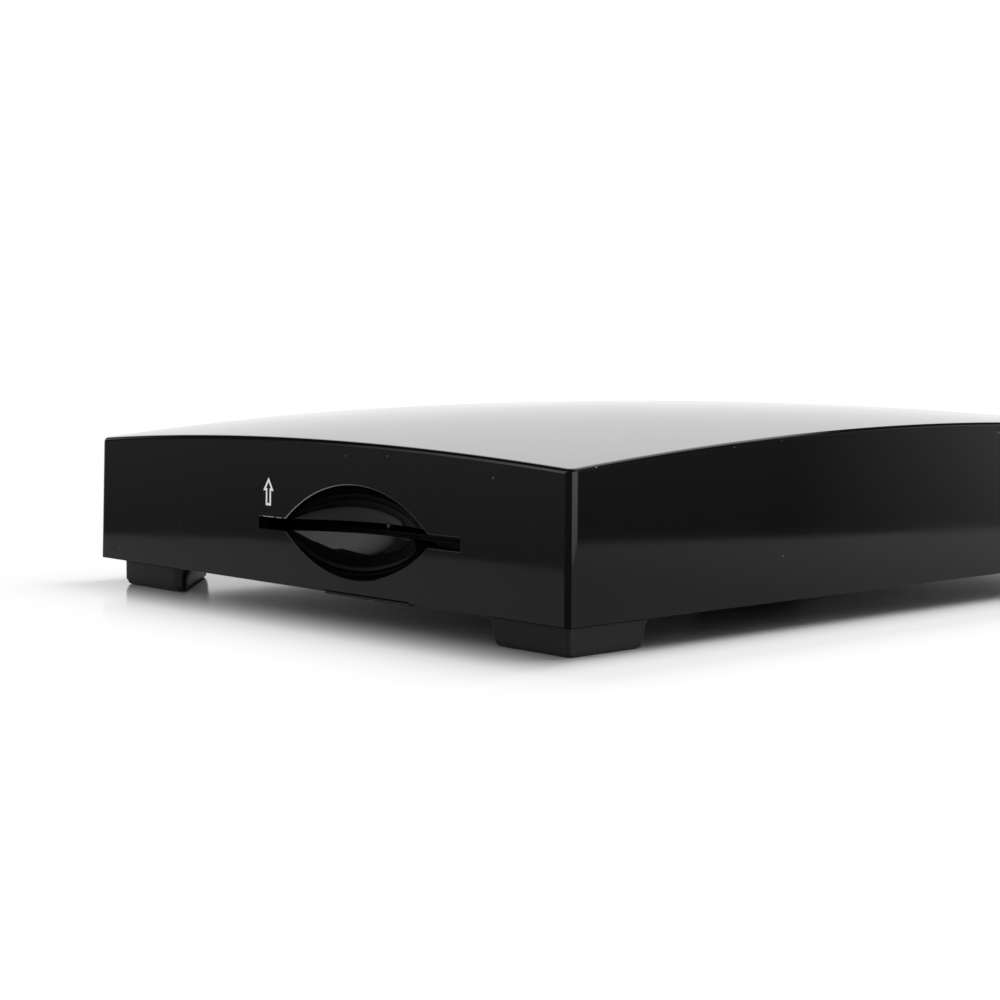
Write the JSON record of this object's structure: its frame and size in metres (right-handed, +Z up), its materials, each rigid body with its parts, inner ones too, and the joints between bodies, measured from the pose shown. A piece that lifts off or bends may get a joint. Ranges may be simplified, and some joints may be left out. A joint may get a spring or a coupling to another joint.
{
  "type": "satellite tv receiver",
  "caption": "Compact satellite receiver: gloss black cover with a crowned roof, card slot in a finger scoop, corner feet, display window, push buttons and a row of rear sockets.",
  "frame": {"origin": "midway under the whole at the level of the feet's soles, rear sockets and buttons included", "axes": "+X to the right seen from the front, +Y to the rear, +Z up; the front wall faces -Y and the card slot faces -X"},
  "size_m": [0.1942, 0.147, 0.0366],
  "materials": {
    "gloss_black_abs": "polished moulding",
    "satin_black_abs": "satin moulding",
    "smoked_acrylic": "smoked, polished",
    "painted_steel": "fine matt powder coat",
    "circuit_board": "green solder mask",
    "black_nylon": "moulded",
    "tinned_steel": "bright tinned",
    "nickel_plate": "bright nickel",
    "gold_contact": "gold flash",
    "white_plastic": "moulded",
    "yellow_plastic": "moulded",
    "red_plastic": "moulded",
    "epoxy_package": "fine matt moulding",
    "black_anodised": "black anodised",
    "capacitor_sleeve": "shrunk sleeve",
    "ferrite": "sintered",
    "clear_epoxy": "tinted clear",
    "ribbon_film": "film",
    "zinc_screw": "black zinc"
  },
  "bodies": {
    "housing": {"cover": "gloss_black_abs", "display_window": "smoked_acrylic", "base_tray": "satin_black_abs", "feet": "satin_black_abs", "rear_panel": "painted_steel", "main_board": "circuit_board", "card_reader": "black_nylon", "contact_carrier": "black_nylon", "card_contacts": "gold_contact", "tuner_can": "tinned_steel", "tuner_lid": "tinned_steel", "lnb_in_connector": "nickel_plate", "lnb_out_connector": "nickel_plate", "connector_insulators": "white_plastic", "connector_nuts": "nickel_plate", "av_socket_block": "black_nylon", "av_socket_shells": "nickel_plate", "video_insert": "yellow_plastic", "audio_left_insert": "white_plastic", "audio_right_insert": "red_plastic", "hdmi_socket": "tinned_steel", "hdmi_tongue": "black_nylon", "ethernet_socket": "black_nylon", "ethernet_contacts": "gold_contact", "usb_socket": "tinned_steel", "usb_tongue": "white_plastic", "dc_jack": "black_nylon", "dc_pin": "nickel_plate", "data_jack": "black_nylon", "main_chip": "epoxy_package", "heatsink": "black_anodised", "memory_chips": "epoxy_package", "flash_chip": "epoxy_package", "crystal": "tinned_steel", "capacitors": "capacitor_sleeve", "power_inductors": "ferrite", "display_board": "circuit_board", "led_display": "epoxy_package", "infrared_sensor": "epoxy_package", "standby_led": "clear_epoxy", "tact_switches": "black_nylon", "display_header": "white_plastic", "main_header": "white_plastic", "ribbon_cable": "ribbon_film", "case_screws": "zinc_screw", "board_screws": "zinc_screw"},
    "power_key": {"power_button": "gloss_black_abs", "power_plunger": "black_nylon"},
    "channel_down_key": {"channel_down_button": "gloss_black_abs", "channel_down_plunger": "black_nylon"},
    "channel_up_key": {"channel_up_button": "gloss_black_abs", "channel_up_plunger": "black_nylon"}
  },
  "joints": [
    {"name": "power_press", "type": "slide", "parent": "housing", "child": "power_key", "axis": [0, 1, 0], "range_m": [0, 0.0004], "stiffness_N_per_m": 500, "springref_m": -0.002},
    {"name": "channel_down_press", "type": "slide", "parent": "housing", "child": "channel_down_key", "axis": [0, 1, 0], "range_m": [0, 0.0004], "stiffness_N_per_m": 500, "springref_m": -0.002},
    {"name": "channel_up_press", "type": "slide", "parent": "housing", "child": "channel_up_key", "axis": [0, 1, 0], "range_m": [0, 0.0004], "stiffness_N_per_m": 500, "springref_m": -0.002}
  ]
}
